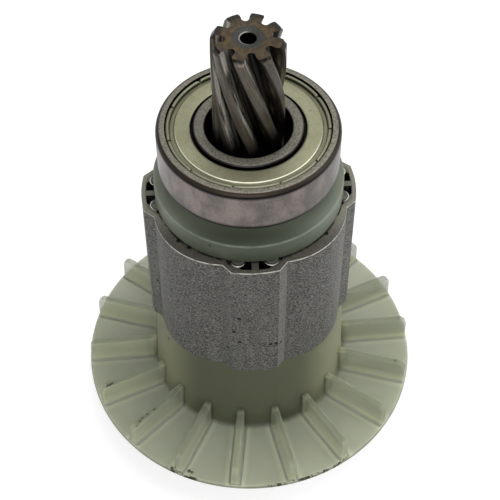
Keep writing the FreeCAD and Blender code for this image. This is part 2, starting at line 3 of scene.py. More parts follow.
import bmesh
import bpy
from mathutils import Matrix, Vector


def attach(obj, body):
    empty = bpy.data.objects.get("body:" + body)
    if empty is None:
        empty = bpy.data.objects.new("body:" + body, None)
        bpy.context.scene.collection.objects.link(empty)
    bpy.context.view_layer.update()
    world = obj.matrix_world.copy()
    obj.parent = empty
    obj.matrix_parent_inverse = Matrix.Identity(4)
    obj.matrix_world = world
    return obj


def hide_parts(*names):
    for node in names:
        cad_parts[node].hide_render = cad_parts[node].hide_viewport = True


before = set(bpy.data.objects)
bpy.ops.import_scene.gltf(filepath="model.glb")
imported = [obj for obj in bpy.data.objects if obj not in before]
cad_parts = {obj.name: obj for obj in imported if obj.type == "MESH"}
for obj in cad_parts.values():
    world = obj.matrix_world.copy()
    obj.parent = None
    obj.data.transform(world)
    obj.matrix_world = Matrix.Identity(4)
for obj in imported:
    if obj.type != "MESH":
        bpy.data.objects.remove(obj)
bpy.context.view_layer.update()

scene = bpy.context.scene
mm = 0.001
print("frame loaded:", len(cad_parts), "nodes")


# ---- helpers for node trees

class Wire:  # a node's output socket that can be used in sums
    def __init__(self, tree, socket):
        self.tree = tree
        self.socket = socket

    def math(self, operation, first, second=0.0):
        node = self.tree.nodes.new("ShaderNodeMath")
        node.operation = operation
        for place, value in zip(node.inputs, (first, second)):
            if isinstance(value, Wire):
                self.tree.links.new(value.socket, place)
            else:
                place.default_value = value
        return Wire(self.tree, node.outputs[0])

    def __add__(self, other): return self.math("ADD", self, other)
    def __radd__(self, other): return self.math("ADD", other, self)
    def __sub__(self, other): return self.math("SUBTRACT", self, other)
    def __rsub__(self, other): return self.math("SUBTRACT", other, self)
    def __mul__(self, other): return self.math("MULTIPLY", self, other)
    def __truediv__(self, other): return self.math("DIVIDE", self, other)
    def __pow__(self, other): return self.math("POWER", self, other)
    def __lt__(self, other): return self.math("LESS_THAN", self, other)
    def __abs__(self): return self.math("ABSOLUTE", self)
    def low(self, other): return self.math("MINIMUM", self, other)
    def high(self, other): return self.math("MAXIMUM", self, other)
    def root(self): return self.math("SQRT", self)
    def limited(self): return self.low(1.0).high(0.0)


class Tree:  # adds nodes to a shader tree or a geometry tree
    def __init__(self, tree):
        self.tree = tree

    def add(self, kind, settings=None, values=None, output=0):
        node = self.tree.nodes.new(kind)
        for name, value in (settings or {}).items():
            setattr(node, name, value)
        for name, value in (values or {}).items():
            if isinstance(value, Wire):
                self.tree.links.new(value.socket, node.inputs[name])
            else:
                node.inputs[name].default_value = value
        return Wire(self.tree, node.outputs[output])

    def parts(self, wire):  # the three numbers of a vector
        return [self.add("ShaderNodeSeparateXYZ", values={0: wire}, output=axis) for axis in range(3)]


class Finish(Tree):  # one procedural material
    def __init__(self, name, **constants):
        self.material = bpy.data.materials.new(name)
        self.material.use_nodes = True
        super().__init__(self.material.node_tree)
        self.shader = self.tree.nodes["Principled BSDF"]
        for socket, value in constants.items():
            self.shader.inputs[socket.replace("_", " ")].default_value = value
        self.place = self.add("ShaderNodeTexCoord", output="Object")
        self.x, self.y, height = self.parts(self.place)  # in metres, and the next four in mm
        self.right, self.back, self.z = self.x / mm, self.y / mm, height / mm
        self.radius = (self.x * self.x + self.y * self.y).root() / mm
        self.facing = self.parts(self.add("ShaderNodeTexCoord", output="Normal"))
        self.upward = self.facing[2]

    def noise(self, size, detail=2.0, stretch=(1, 1, 1), roughness=0.5, place=None):
        spot = self.add("ShaderNodeMapping", values={"Vector": place or self.place, "Scale": stretch})
        return self.add("ShaderNodeTexNoise", values={
            "Vector": spot, "Scale": 1 / (size * mm), "Detail": detail, "Roughness": roughness})

    def spots(self, size, reach):  # 1 at scattered centres, 0 beyond their reach
        distance = self.add("ShaderNodeTexVoronoi", values={"Vector": self.place, "Scale": 1 / (size * mm)})
        return (1 - distance / reach).limited()

    def mark(self, spot, reach):  # 1 at one spot, given in mm, and 0 beyond its reach
        gap = self.add("ShaderNodeVectorMath", {"operation": "DISTANCE"}, {
            0: self.place, 1: tuple(value * mm for value in spot)}, output="Value")
        return (1 - gap / (reach * mm)).limited() ** 0.5

    def crumb(self, spot, reach):  # a mark with a crisp edge
        return self.step(self.mark(spot, reach), 0.1, 0.4)

    def step(self, value, start, end):  # smooth step from 0 at start to 1 at end
        return self.add("ShaderNodeMapRange", {"interpolation_type": "SMOOTHSTEP"}, {
            "Value": value, "From Min": start, "From Max": end})

    def fade(self, value, start, end):  # smooth step from 1 at start to 0 at end
        return 1 - self.step(value, start, end)

    def blend(self, share, first, second):  # the first colour at a share of 0, the second at 1
        return self.add("ShaderNodeMix", {"data_type": "RGBA"},
                        {0: share, 6: paint(first), 7: paint(second)}, output=2)

    def bump(self, height, depth, strength=1.0):
        return self.add("ShaderNodeBump", values={
            "Height": height, "Distance": depth * mm, "Strength": strength})

    def wear(self, **wires):
        for socket, wire in wires.items():
            self.tree.links.new(wire.socket, self.shader.inputs[socket.replace("_", " ")])
        return self.material


def paint(colour):
    return colour if isinstance(colour, Wire) else (*colour[:3], 1.0)


def shade(red, green, blue):  # a colour given by its parts, from 0 to 255
    return tuple((value / 255 / 12.92) if value < 10.3 else ((value / 255 + 0.055) / 1.055) ** 2.4
                 for value in (red, green, blue))


def palette(**values):  # values by name, the colours as linear light
    return {name: shade(*value) if isinstance(value, tuple) else value for name, value in values.items()}


# ---- sizes of the two ball bearings, in mm, which their shapes and finishes share

frontBearing = {"bore": 7.5, "land": 9.6, "pitch": 11.75, "seat": 14.4, "outer": 16.0, "corner": 0.95,
                "bottom": 67.0, "top": 76.0, "shieldBore": 10.0, "shieldSeat": 14.38}
rearBearing = {"bore": 5.0, "land": 6.85, "pitch": 9.0, "seat": 11.4, "outer": 13.0, "corner": 0.6,
               "bottom": 0.0, "top": 8.0, "shieldBore": 7.25, "shieldSeat": 11.38}
shieldBend = 1.68  # from the shield's seat in to the bend of its groove


# ---- finishes

def makeFanNylon():
    look = palette(
        lit=(150, 153, 138), deep=(130, 134, 114), side=(150, 153, 136), crest=(126, 130, 113),
        far=(176, 178, 164), hub=(82, 85, 66), hubSide=(128, 129, 104), glow=(186, 190, 163),
        rim=(92, 92, 80), dirt=(34, 32, 27), discTop=9.0, bladeTop=14.8, blades=18, bladeShift=0.25)
    f = Finish("fanNylon", Subsurface_Weight=1.0, Subsurface_Radius=(1.0, 1.05, 0.75),
               Subsurface_Scale=0.0045, IOR=1.45, Specular_IOR_Level=0.2)
    cloud = f.noise(9.0, 3) * 0.7 + f.noise(2.2, 3) * 0.3
    base = f.blend((cloud - 0.3) * 0.7, look["lit"], look["deep"])
    upright = f.fade(abs(f.upward), 0.4, 0.9)
    front = f.y < 0.0
    # painted light: the blades' upright faces painted lighter than the disc
    base = f.blend(upright * f.step(f.z, 8.95, 9.1) * f.fade(f.z, 14.0, 14.5), base, look["side"])
    # painted shade: the blade crests painted darker
    base = f.blend(f.step(f.z, 14.3, 14.7) * 0.9, base, look["crest"])
    # painted light: the disc's top painted lighter towards the back, less so at the right
    far = f.step(f.back, -6.0, 24.0) * f.fade(f.z, 9.0, 9.3) * (1 - f.step(f.right, 18.0, 30.0) * 0.6)
    base = f.blend(far * 0.9, base, look["far"])
    # painted shade: upright blade faces painted darker at the right
    base = f.blend(upright * f.step(f.right, 20.0, 27.0) * 0.35, base, look["crest"])
    # painted light: the disc and blade feet painted lighter beside each blade, against the shade at the feet
    turn = f.y.math("ARCTAN2", f.y, f.x) * (look["blades"] / (2 * math.pi)) - look["bladeShift"]
    beside = turn.math("PINGPONG", turn, 0.5) * (2 * math.pi / look["blades"]) * f.radius
    foot = f.fade(beside, 0.9, 2.6) * f.fade(f.z, 9.3, 11.0)
    base = f.blend(foot * 0.8, base, look["glow"])
    # painted light: upright blade faces painted lighter at the left
    base = f.blend(upright * f.step(f.right, -17.0, -25.0) * 0.55, base, look["glow"])
    base = f.blend(f.step(f.radius, 33.12, 33.3) * front * 0.7, base, look["rim"])
    # the hub painted darker, partly painted shade under the core, with its left and right sides painted
    # lighter as painted light
    hub = f.blend(f.step((f.x * f.x).root() / mm, 9.0, 18.0), look["hub"], look["hubSide"])
    base = f.blend(f.fade(f.radius, 19.2, 20.6), base, hub)
    chipped = (f.step(f.right, 2.0, 5.0) * f.fade(f.right, 17.5, 20.5)
               + f.step(f.right, -17.0, -15.0) * f.fade(f.right, -11.0, -9.5)) * front
    edgeZone = f.step(f.radius, 32.95, 33.1) * f.fade(f.z, 9.3, 9.5)
    flecks = f.step(f.noise(1.1, 4, roughness=0.7), 0.46, 0.53) * edgeZone * chipped
    smudges = [f.mark((x, y, look["discTop"]), reach)
               for x, y, reach in ((-11.9, -29.8, 0.45), (-11.3, -30.1, 0.35), (-15.3, -29.1, 0.4))]
    smudges += [f.mark((x, y, look["bladeTop"]), 0.36) for x, y in (
        (-28.5, -13.7), (-28.0, -13.4), (-27.6, -13.1), (-22.1, -23.0), (-21.6, -21.9), (-21.2, -21.2),
        (-20.1, -20.3), (-18.9, -19.2), (26.7, -6.5), (29.5, -7.2), (29.7, -7.9))]
    smudges += [f.mark(spot, 0.3) * 3 for spot in ((-8.2, -16.6, 28.6), (-15.8, -9.6, 25.6))]
    dirt = (flecks + sum(smudges) * f.step(f.noise(0.25, 2), 0.3, 0.5) * 1.3).limited()
    colour = f.blend(dirt, base, look["dirt"])
    relief = f.noise(0.22, 2) * 0.4 + f.noise(3.0, 2)
    sheer = f.step(f.z, 9.0, 9.2) * f.step(f.radius, 19.6, 21.0) * (1 - dirt)
    return f.wear(Base_Color=colour, Roughness=f.noise(1.6, 2) * 0.16 + 0.5 + dirt * 0.2,
                  Alpha=1 - sheer * 0.5, Normal=f.bump(relief, 0.03, 0.5))


def makeCoreSteel():
    look = palette(
        pale=(125, 124, 119), dark=(14, 13, 12), hole=(9, 8, 7), flank=(168, 166, 160),
        burr=(206, 203, 192), sheet=(74, 72, 64), sheetSide=(122, 120, 107), top=59.5, poleAngle=48.5,
        bandScale=99.999766)
    f = Finish("coreSteel", Metallic=0.4, Specular_IOR_Level=0.25)
    grain = f.noise(0.26, 3, (0.7, 0.7, 2.0), 0.85)
    coarse = f.noise(0.9, 3, (1, 1, 1.6), 0.65)
    streaks = f.noise(1.3, 2, (1, 1, 0.16))
    bands = f.add("ShaderNodeTexWave", {"wave_type": "BANDS", "bands_direction": "Z"},
                  {"Vector": f.place, "Scale": look["bandScale"]})
    frontLobe = f.y < -14.0 * mm
    # painted light: front lobe flanks facing right painted lighter, those facing left slightly lighter
    toRight, toLeft = f.step(f.facing[0], 0.6, 0.75), f.fade(f.facing[0], -0.75, -0.6)
    flanks = (toRight * 0.2 + toLeft * 0.05) * frontLobe
    tone = (grain - 0.5) * 7.4 + (coarse - 0.5) * 0.5 + (streaks - 0.5) * 0.35 + 0.4 + flanks
    # painted light: the right side of the core painted lighter
    tone = tone + f.step(f.right, 13.0, 17.0) * 0.14
    base = f.blend(tone.limited(), look["dark"], look["pale"])
    pits = f.step(f.spots(2.4, 0.08), 0.25, 0.6) * f.step(f.noise(6.0, 2), 0.45, 0.53)
    # painted highlight on the front lobe's flank facing right
    base = f.blend(toRight * frontLobe * 0.12, base, look["flank"])
    for spot in ((-1.8, -19.3, 46.0), (-2.8, -19.2, 41.7), (-1.7, -19.3, 38.6), (-3.9, -18.2, 35.3),
                 (5.9, -17.9, 36.5), (4.0, -19.0, 37.4), (5.0, -18.8, 37.4), (-17.3, -6.4, 40.2)):
        pits = pits.high(f.crumb(spot, 0.4))
    colour = f.blend(pits, base, look["hole"])
    top = f.step(f.upward, 0.6, 0.9)
    # painted light and shade: the top faces darker at the front and lighter towards the back and sides
    sheet = f.blend(f.step(f.back, -13.0, -5.0), look["sheet"], look["sheetSide"])
    colour = f.blend(top * 0.85, colour, sheet)
    # painted shade: a broken dark ring on the top face round the end plate's foot
    seam = f.fade(f.radius, 17.08, 17.26) * top * f.step(f.noise(1.2, 3), 0.36, 0.52)
    colour = f.blend(seam * 0.85, colour, look["hole"])
    for x, y in ((-12.3, -12.1), (-10.4, -13.6), (13.6, -10.5), (-3.4, -17.1)):
        colour = f.blend(f.crumb((x, y, look["top"]), 0.45), colour, look["hole"])
    # a burr along the top edge, painted brighter as a painted highlight
    lip = f.step(f.z, look["top"] - 0.3, look["top"] - 0.16) * (1 - top)
    lip = lip * (f.step(f.noise(1.1, 3), 0.38, 0.52) * 0.6 + 0.35)
    colour = f.blend(lip * 0.9, colour, look["burr"])
    turn = math.radians(look["poleAngle"])
    along = (f.x * math.cos(turn) + f.y * math.sin(turn)) / mm
    aside = (f.y * math.cos(turn) - f.x * math.sin(turn)) / mm
    reach = (along * along).root().high((aside * aside).root())
    # painted shade: the magnet slots' walls painted black and less metallic
    inside = f.fade(reach, 15.3, 15.7) * f.fade(f.radius, 18.62, 18.8)
    colour = f.blend(inside * (1 - top * 0.6), colour, look["hole"])
    height = grain * 0.9 + streaks * 0.4 + bands * 0.15 - pits * 3
    return f.wear(Base_Color=colour, Roughness=0.42 + grain * 0.26 - lip * 0.2,
                  Normal=f.bump(height, 0.06, 0.7), Metallic=0.4 - inside * 0.4)


# near-white metal for thin arcs round the tongues, bright as a painted highlight
def makeBurrSteel():
    look = palette(bright=(232, 230, 222), dull=(150, 148, 140))
    f = Finish("burrSteel", Metallic=0.9)
    return f.wear(Base_Color=f.blend(f.noise(0.8, 3), look["bright"], look["dull"]),
                  Roughness=f.noise(0.4, 2) * 0.2 + 0.18, Normal=f.bump(f.noise(0.2, 2), 0.01, 0.5))


def makeMagnetNickel():
    look = palette(plate=(112, 110, 104), dull=(48, 46, 42), soot=(14, 13, 12))
    f = Finish("magnetNickel", Metallic=0.7)
    colour = f.blend(f.noise(2.0, 4, roughness=0.65), look["plate"], look["dull"])
    colour = f.blend(f.step(f.noise(1.2, 3), 0.36, 0.46) * 0.85, colour, look["soot"])
    return f.wear(Base_Color=colour, Roughness=f.noise(0.9, 3) * 0.3 + 0.3,
                  Normal=f.bump(f.noise(0.35, 3), 0.02, 0.6))


def makePlateNylon():
    look = palette(
        lit=(116, 122, 108), deep=(102, 108, 94), front=(69, 75, 61), dust=(34, 33, 28),
        edge=(138, 148, 134))
    f = Finish("plateNylon", Subsurface_Weight=0.25, Subsurface_Radius=(1.0, 1.15, 0.9),
               Subsurface_Scale=0.0014, IOR=1.45, Specular_IOR_Level=0.4)
    base = f.blend(f.noise(5.0, 3) * 0.8 + 0.1, look["lit"], look["deep"])
    # painted shade: the front of the plate painted darker
    base = f.blend(f.step(f.back, -10.0, -16.0), base, look["front"])
    # painted highlight along the top edge
    edge = f.step(f.z, 63.35, 63.6) * f.step(f.radius, 16.6, 16.85)
    base = f.blend(edge * f.noise(2.0, 2) * 0.55, base, look["edge"])
    # the tongues painted darker
    tongue = f.step(f.radius, 17.02, 17.12) * 0.6
    shadow = f.fade(f.radius, 11.0, 13.0) * 0.6
    specks = f.step(f.spots(2.4, 0.07), 0.2, 0.6)
    # darker in broken patches along the foot
    foot = f.step(f.z, 60.2, 59.6) * f.step(f.noise(0.9, 3), 0.5, 0.6)
    speck = f.crumb((-6.7, -15.6, 62.6), 0.35)
    # dust specks and a crumb, with the painted shadow under the bearing and the darker tongues and foot
    colour = f.blend((specks * 0.8 + foot * 0.6 + shadow + tongue + speck).limited(), base, look["dust"])
    return f.wear(Base_Color=colour, Roughness=f.noise(1.3, 2) * 0.15 + 0.42,
                  Normal=f.bump(f.noise(2.4, 2) + f.noise(0.2, 2) * 0.2, 0.03, 0.5))


def makeRingSteel(name, size):  # ground rings, with a dark band on their roundings, partly brown film and partly painted dark reflection
    look = palette(
        ground=(130, 120, 116), cool=(98, 93, 90), film=(15, 13, 11), face=(126, 122, 110),
        inner=(115, 113, 102), black=(8, 7, 7), brown=(84, 72, 60))
    f = Finish(name, Metallic=0.85)
    low, high, bore = size["bottom"], size["top"], size["bore"]
    land, seat, outer = size["land"], size["seat"], size["outer"]
    lines = f.noise(0.5, 2, (0.3, 0.3, 8.0))
    smear = f.noise(3.4, 4, (1, 1, 0.6), 0.6)
    base = f.blend(f.step(smear, 0.35, 0.65), look["ground"], look["cool"])
    grit = f.noise(0.3, 3, roughness=0.7)
    isFace = f.step(abs(f.upward), 0.9, 0.97)
    faces = f.blend(f.step(f.radius, (land + seat) / 2, (land + seat) / 2 + 0.1), look["inner"], look["face"])
    colour = f.blend(isFace, base, faces)
    colour = f.blend((grit - 0.42) * (isFace * 1.4 + 1.1), colour, look["film"])
    away = abs(f.z - (low + high) / 2)
    half = (high - low) / 2
    outside = f.step(f.radius, outer - 1.2, outer - 0.9)
    # the dark band on the outer roundings is partly brown film and partly painted dark reflection
    rounding = f.step(away, half - 1.15, half - 0.9) * (1 - isFace) * outside
    patchy = f.noise(1.5, 3) * 0.25 + 0.9
    chamfer = f.step(f.radius, land - 0.34, land - 0.2) * f.fade(f.radius, land + 0.1, land + 0.2)
    colour = f.blend(((rounding + chamfer * 0.9) * patchy).limited(), colour, look["film"])
    brown = f.step(away, half - 0.62, half - 0.45) * (1 - isFace) * outside
    colour = f.blend(brown * patchy * 0.2, colour, look["brown"])
    bright = f.step(away, half - 1.35, half - 1.2) * f.fade(away, half - 1.15, half - 1.0)
    colour = f.blend(bright * f.step(f.radius, outer - 0.1, outer - 0.02) * 0.5, colour, look["black"])
    # painted shade: the recesses under the shields and the bore painted black
    hidden = f.step(f.radius, land - 0.06, land - 0.01) * f.fade(f.radius, seat + 0.02, seat + 0.08) \
        + f.fade(f.radius, bore + 0.05, bore + 0.3)
    colour = f.blend(hidden.limited(), colour, look["black"])
    return f.wear(Base_Color=colour, Roughness=0.27 + lines * 0.14 + smear * 0.1 + isFace * 0.2,
                  Normal=f.bump(lines + grit * 0.8, 0.014, 0.5))


def makeShieldSteel(name, size):
    look = palette(
        plated=(150, 149, 123), dull=(118, 117, 91), mark=(70, 66, 52), bright=(222, 222, 200),
        black=(10, 10, 9), curl=(120, 120, 100))
    f = Finish(name, Metallic=0.7)
    inner, seat = size["shieldBore"], size["shieldSeat"]
    base = f.blend(f.noise(3.5, 3, roughness=0.6), look["plated"], look["dull"])
    base = f.blend(f.step(f.back, -7.0, -12.0) * 0.3, base, look["mark"])
    scuffs = f.step(f.noise(0.8, 4, roughness=0.7), 0.6, 0.7)
    grain = f.noise(0.2, 3, roughness=0.75)
    colour = f.blend((scuffs * 0.3 + (grain - 0.46) * 1.9).limited(), base, look["mark"])
    bend = seat - shieldBend
    # painted highlight on the bend, at the front only
    line = f.step(f.radius, bend - 0.12, bend - 0.02) * f.fade(f.radius, bend + 0.03, bend + 0.12)
    colour = f.blend(line * f.step(f.back, 2.0, -7.0) * 0.9, colour, look["bright"])
    groove = f.step(f.radius, bend + 0.1, bend + 0.3) * f.fade(f.radius, seat - 0.62, seat - 0.52)
    colour = f.blend(groove * 0.45, colour, look["mark"])
    curl = f.step(f.radius, seat - 0.8, seat - 0.7)
    colour = f.blend(curl * 0.8, colour, look["curl"])
    # painted shade: black lines at the inner edge, at the outer edge by the ring and inside the curled rim
    gaps = f.fade(f.radius, inner + 0.03, inner + 0.2) + f.step(f.radius, seat - 0.2, seat - 0.08) \
        + f.step(f.radius, seat - 0.95, seat - 0.85) * f.fade(f.radius, seat - 0.78, seat - 0.7) * 0.8
    colour = f.blend(gaps.limited(), colour, look["black"])
    return f.wear(Base_Color=colour, Roughness=0.38 + grain * 0.16 + scuffs * 0.1,
                  Normal=f.bump(grain + f.noise(1.4, 2) * 0.6, 0.016, 0.6))


def makePinionSteel():
    look = palette(
        ground=(104, 98, 90), brown=(66, 58, 50), rust=(78, 63, 39), dark=(26, 23, 18), dish=(54, 59, 58),
        oil=(7, 6, 6), shine=(158, 155, 146), rusty=(46, 40, 31), amber=(128, 118, 90), top=96.1,
        lead=107.0)
    f = Finish("pinionSteel", Metallic=0.75, Specular_IOR_Level=0.3)
    untwist = f.add("ShaderNodeVectorRotate", {"rotation_type": "Z_AXIS"},
                    {"Vector": f.place, "Angle": (f.z - look["top"]) * (2 * math.pi / look["lead"])})
    streak = f.noise(0.9, 4, (1.6, 1.6, 0.14), 0.6, untwist)
    blotch = f.noise(2.0, 4, (1, 1, 0.6), 0.65)
    grit = f.noise(0.28, 3, roughness=0.75)
    land = f.step(f.radius, 5.75, 6.0)
    gap = 1 - land
    scratch = f.noise(0.5, 3, (1.8, 1.8, 0.07), 0.6, untwist)
    share = blotch * 0.8 + streak * 0.5 + (scratch - 0.5) * 2.6 - 0.12
    colour = f.blend(share.limited(), look["ground"], look["brown"])
    # dark streaks in the tooth spaces, partly oil and partly painted shade
    colour = f.blend(gap * f.fade(streak, 0.46, 0.6) * 0.85, colour, look["oil"])
    # painted highlight: amber streaks in the tooth spaces on the right
    amber = gap * f.step(streak, 0.48, 0.6) * f.step(f.x, 0.0, 3.0 * mm)
    colour = f.blend(amber * 0.6, colour, look["amber"])
    # painted light: flanks facing one way painted lighter
    turned = (f.facing[1] * f.x - f.facing[0] * f.y) / (f.radius * mm)
    lit = f.step(turned, 0.3, 0.7) * gap
    flankTone = f.blend(f.step(streak, 0.4, 0.6), look["rusty"], look["shine"])
    colour = f.blend(lit * 0.9, colour, flankTone)
    # painted shade: the roots painted black
    colour = f.blend(f.fade(f.radius, 3.9, 4.4), colour, look["oil"])
    colour = f.blend(grit - 0.42, colour, look["rusty"])
    # painted shade: the lands darker on the right and the left side darker
    rust = f.step(f.right, 1.0, 5.0) * land * 0.5 + f.step(f.right, -3.0, -5.0) * 0.4
    colour = f.blend(rust, colour, look["rusty"])
    # painted shade: the tip chamfers darker, most at the back
    bevel = f.step(f.z, 95.15, 95.3) * f.step(f.radius, 5.2, 5.5)
    colour = f.blend(bevel * (f.step(f.back, -4.5, -1.5) * 0.65 + 0.1), colour, look["dark"])
    # painted shade: the unlit tooth spaces black below the face
    colour = f.blend(gap * (1 - lit) * f.step(f.z, 92.0, 94.5) * 0.8, colour, look["oil"])
    # painted shade: black deep in the bearing's bore, reaching higher on the right
    level = f.z - f.x.high(0.0) / mm * 0.7 + (blotch - 0.5) * 5
    colour = f.blend(f.fade(level, 73.5, 79.5) * 0.96, colour, look["oil"])
    face = f.step(f.upward, 0.9, 0.98) * f.step(f.z, 95.6, 95.75)
    # painted shade: the face darker at the tooth tips towards the back
    tips = f.step(f.radius + blotch, 4.5, 5.4) * f.step(f.back, -3.0, 1.0)
    faceTone = f.blend(f.step(f.noise(0.9, 4, roughness=0.75), 0.36, 0.64), look["rust"], look["rusty"])
    faceTone = f.blend(tips * 0.9, faceTone, look["dark"])
    colour = f.blend(face, colour, faceTone)
    dish = f.fade(f.radius + blotch * 0.7, 2.6, 3.2) * f.step(f.z, 95.5, 95.65)
    mottle = f.step(f.noise(0.55, 4, roughness=0.75), 0.4, 0.62)
    dishTone = f.blend(mottle * 0.8, look["dish"], look["rusty"])
    colour = f.blend(dish, colour, dishTone)
    # painted highlight on the left of the hole's lip
    lipShare = f.fade(f.radius, 1.5, 1.62) * f.step(f.right, 0.4, -0.6) * 0.7
    colour = f.blend(lipShare * f.step(f.z, 95.5, 95.65), colour, look["shine"])
    # painted shade: black down the centre hole
    colour = f.blend(f.fade(f.radius, 1.36, 1.5) * f.fade(f.z, 95.72, 95.84), colour, look["oil"])
    pits = f.step(f.spots(1.7, 0.09), 0.25, 0.6)
    colour = f.blend(pits * 0.8, colour, look["oil"])
    height = grit * 0.5 + streak - pits * 2
    return f.wear(Base_Color=colour, Roughness=0.26 + blotch * 0.16 + face * 0.25 + dish * 0.2 + pits * 0.2,
                  Metallic=0.75 - face * 0.45 - dish * 0.3, Normal=f.bump(height, 0.03, 0.6))


def makeShaftSteel():
    look = palette(ground=(150, 144, 136), brown=(100, 88, 72), oil=(12, 11, 10))
    f = Finish("shaftSteel", Metallic=0.9)
    turned = f.noise(0.4, 2, (0.2, 0.2, 10.0))
    colour = f.blend(f.noise(2.6, 4, roughness=0.6), look["ground"], look["brown"])
    # darker under the front bearing, partly oil and partly painted shade
    colour = f.blend(f.step(f.z, 63.0, 66.5) * 0.92, colour, look["oil"])
    return f.wear(Base_Color=colour, Roughness=0.26 + turned * 0.2, Normal=f.bump(turned, 0.012, 0.6))


def makeCageSteel():
    look = palette(sheet=(120, 118, 110), greased=(72, 66, 48))
    f = Finish("cageSteel", Metallic=0.85)
    colour = f.blend(f.noise(1.4, 3), look["sheet"], look["greased"])
    return f.wear(Base_Color=colour, Roughness=f.noise(0.8, 3) * 0.3 + 0.25,
                  Normal=f.bump(f.noise(0.3, 2), 0.01, 0.5))


def makeBallSteel():
    look = palette(bright=(190, 190, 188), greased=(120, 110, 84))
    f = Finish("ballSteel", Metallic=1.0)
    film = f.step(f.noise(1.6, 3), 0.5, 0.62)
    return f.wear(Base_Color=f.blend(film, look["bright"], look["greased"]), Roughness=film * 0.25 + 0.08,
                  Normal=f.bump(f.noise(1.2, 2), 0.004, 0.4))


finishes = {
    "fan": makeFanNylon(), "core": makeCoreSteel(), "burr": makeBurrSteel(), "magnet": makeMagnetNickel(),
    "plate": makePlateNylon(),
    "frontRing": makeRingSteel("frontRingSteel", frontBearing),
    "rearRing": makeRingSteel("rearRingSteel", rearBearing),
    "frontShield": makeShieldSteel("frontShieldSteel", frontBearing),
    "rearShield": makeShieldSteel("rearShieldSteel", rearBearing),
    "pinion": makePinionSteel(), "shaft": makeShaftSteel(), "cage": makeCageSteel(), "ball": makeBallSteel(),
}
print("finishes made:", len(finishes))


# ---- helpers for meshes

def newObject(name, data):
    thing = bpy.data.objects.new(name, data)
    scene.collection.objects.link(thing)
    return thing


def newPiece(name, mesh, finish, body, stands=()):
    piece = newObject(name, mesh)
    piece.data.materials.clear()
    piece.data.materials.append(finish)
    settle(piece)
    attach(piece, body)
    if stands:
        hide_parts(*stands)


def settle(piece):  # merged corners, outward faces, smooth except at sharp edges
    work = bmesh.new()
    work.from_mesh(piece.data)
    bmesh.ops.remove_doubles(work, verts=work.verts, dist=0.002 * mm)
    bmesh.ops.recalc_face_normals(work, faces=work.faces)
    work.to_mesh(piece.data)
    work.free()
    piece.data.shade_smooth()
    piece.data.set_sharp_from_angle(angle=math.radians(32))


def spun(radius, angle, height=0.0):  # the point at an angle in radians
    return (radius * math.cos(angle), radius * math.sin(angle), height)


def polar(radius, angle, height=0.0):  # the same in degrees
    return spun(radius, math.radians(angle), height)


def roundCorners(corners, steps=5):  # (x, y, round) corners, in order, become a closed line with arcs
    points = []
    for index, (x, y, size) in enumerate(corners):
        here = Vector((x, y))
        if size <= 0:
            points.append(here)
            continue
        back = (Vector(corners[index - 1][:2]) - here).normalized()
        ahead = (Vector(corners[(index + 1) % len(corners)][:2]) - here).normalized()
        half = math.acos(max(-1, min(1, back.dot(ahead)))) / 2
        centre = here + (back + ahead).normalized() * (size / math.sin(half))
        first = here + back * (size / math.tan(half)) - centre
        last = here + ahead * (size / math.tan(half)) - centre
        sweep = first.angle_signed(last)
        for step in range(steps + 1):
            points.append(centre + Matrix.Rotation(-sweep * step / steps, 2) @ first)
    return points


def ringMesh(name, rings, closed=False):  # rings of points with equal counts, joined by quads
    count = len(rings[0])
    mesh = bpy.data.meshes.new(name)
    faces = []
    spans = len(rings) if closed else len(rings) - 1
    for row in range(spans):
        following = (row + 1) % len(rings)
        for index in range(count):
            beside = (index + 1) % count
            faces.append((row * count + index, row * count + beside, following * count + beside,
                          following * count + index))
    if not closed:
        faces.append(tuple(reversed(range(count))))
        faces.append(tuple((len(rings) - 1) * count + index for index in range(count)))
    mesh.from_pydata([Vector(point) * mm for ring in rings for point in ring], [], faces)
    return mesh


def turnedMesh(name, corners, around=192, steps=5):  # an outline of (radius, height, round), spun round Z
    outline = roundCorners(corners, steps)
    rings = []
    for index in range(around):
        angle = 2 * math.pi * index / around
        rings.append([spun(max(p.x, 0), angle, p.y) for p in outline])
    return ringMesh(name, rings, closed=True)


def newGrowth(name, inputs):  # a geometry tree with named inputs, and the wires of its input node
    group = bpy.data.node_groups.new(name, "GeometryNodeTree")
    group.interface.new_socket("Geometry", in_out="INPUT", socket_type="NodeSocketGeometry")
    for label, kind in inputs.items():
        group.interface.new_socket(label, in_out="INPUT", socket_type="NodeSocket" + kind)
    group.interface.new_socket("Geometry", in_out="OUTPUT", socket_type="NodeSocketGeometry")
    entry = group.nodes.new("NodeGroupInput")
    wires = {socket.name: Wire(group, socket) for socket in entry.outputs if socket.name}
    return Tree(group), wires


def closeGrowth(tree, geometry, finish):
    plain = tree.add("GeometryNodeRealizeInstances", values={"Geometry": geometry})
    painted = tree.add("GeometryNodeSetMaterial", values={"Geometry": plain, "Material": finish})
    leave = tree.tree.nodes.new("NodeGroupOutput")
    tree.tree.links.new(painted.socket, leave.inputs[0])
    return tree.tree


def plainMesh(thing):  # an object's mesh with all its modifiers applied, and the object gone
    bpy.context.view_layer.update()
    shaped = thing.evaluated_get(bpy.context.evaluated_depsgraph_get())
    mesh = bpy.data.meshes.new_from_object(shaped)
    bpy.data.objects.remove(thing)
    return mesh


def grow(name, mesh, group, values):  # runs a geometry tree on a mesh and returns the plain result
    host = newObject(name + "Host", mesh)
    modifier = host.modifiers.new("growth", "NODES")
    modifier.node_group = group
    for item in group.interface.items_tree:
        if item.in_out == "INPUT" and item.name in values:
            modifier[item.identifier] = values[item.name]
    result = plainMesh(host)
    result.name = name
    return result


